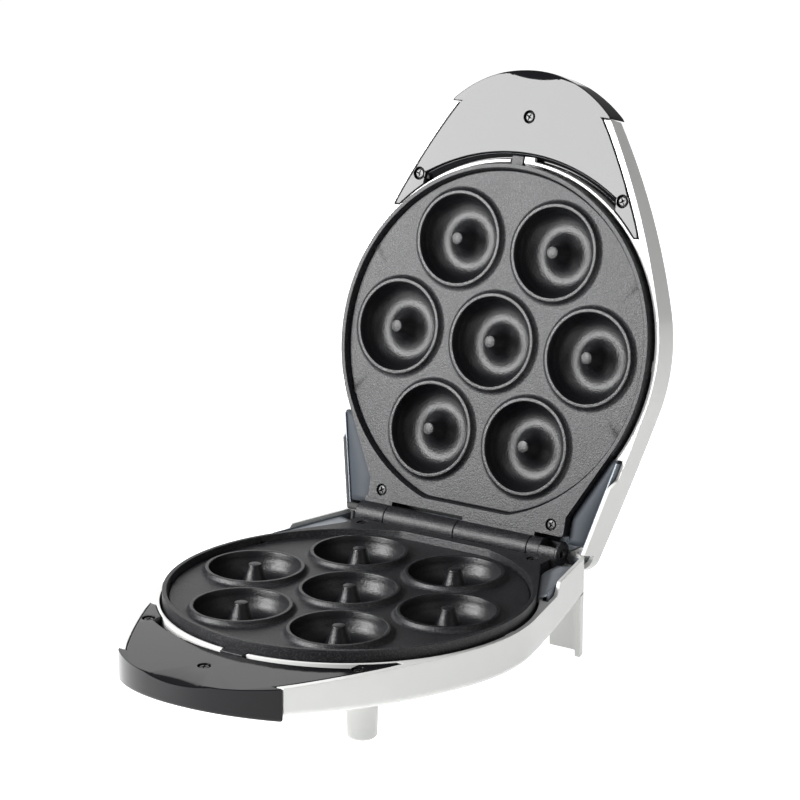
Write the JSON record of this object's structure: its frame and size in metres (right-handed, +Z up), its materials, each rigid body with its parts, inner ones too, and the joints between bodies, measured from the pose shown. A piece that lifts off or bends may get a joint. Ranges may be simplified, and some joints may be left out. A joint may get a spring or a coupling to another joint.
{
  "type": "donut maker",
  "caption": "Countertop ring-donut maker: a white base and hinged lid, each with a non-stick plate of ring-shaped wells, a heating rod under it and a black front handle.",
  "frame": {"origin": "on the floor, under the middle of the plan box of the appliance standing with its lid open", "axes": "+Z up, +Y to the hinge, +X to the appliance's right seen from the handle"},
  "size_m": [0.192, 0.3216, 0.2835],
  "materials": {
    "white_plastic": "white gloss moulded plastic",
    "black_plastic": "black gloss moulded plastic",
    "non_stick": "die-cast aluminium with a satin black non-stick coat",
    "steel": "bright zinc-plated steel",
    "shield_steel": "aluminised steel sheet, slate grey",
    "element_steel": "heat-dulled steel sheath",
    "ceramic": "cream steatite ceramic, unglazed",
    "switch_plastic": "dark brown phenolic resin",
    "block_plastic": "cream polyamide",
    "gland_rubber": "black rubber",
    "lead_sleeve": "white woven glass sleeving",
    "red_lens": "clear red plastic",
    "green_lens": "clear green plastic",
    "lamp_glass": "neon lamp glass"
  },
  "bodies": {
    "base": {"lower_housing": "white_plastic", "lower_handle": "black_plastic", "lower_plate": "non_stick", "hinge_pin": "steel", "thermostat": "switch_plastic", "thermostat_strap": "steel", "strap_screw": "steel", "terminal_block": "block_plastic", "cord_gland": "gland_rubber", "lower_leads": "lead_sleeve", "hinge_lead_sleeve": "lead_sleeve", "lower_handle_screws": "steel", "lower_plate_screws": "steel", "lower_element": "element_steel", "lower_element_terminals": "steel", "lower_element_beads": "ceramic", "lower_element_clips": "steel", "lower_clip_screws": "steel", "lower_heat_shield": "shield_steel", "lower_shield_screws": "steel"},
    "lid": {"upper_housing": "white_plastic", "upper_handle": "black_plastic", "upper_plate": "non_stick", "upper_leads": "lead_sleeve", "upper_handle_screws": "steel", "upper_plate_screws": "steel", "upper_element": "element_steel", "upper_element_terminals": "steel", "upper_element_beads": "ceramic", "upper_element_clips": "steel", "upper_clip_screws": "steel", "upper_heat_shield": "shield_steel", "upper_shield_screws": "steel", "thermal_fuse": "steel", "power_lamp_lens": "red_lens", "power_lamp": "lamp_glass", "ready_lamp_lens": "green_lens", "ready_lamp": "lamp_glass"}
  },
  "joints": [
    {"name": "lid_hinge", "type": "hinge", "parent": "base", "child": "lid", "pos_m": [0, 0.08092, 0.052], "axis": [1, 0, 0], "range_deg": [0, 105]}
  ]
}
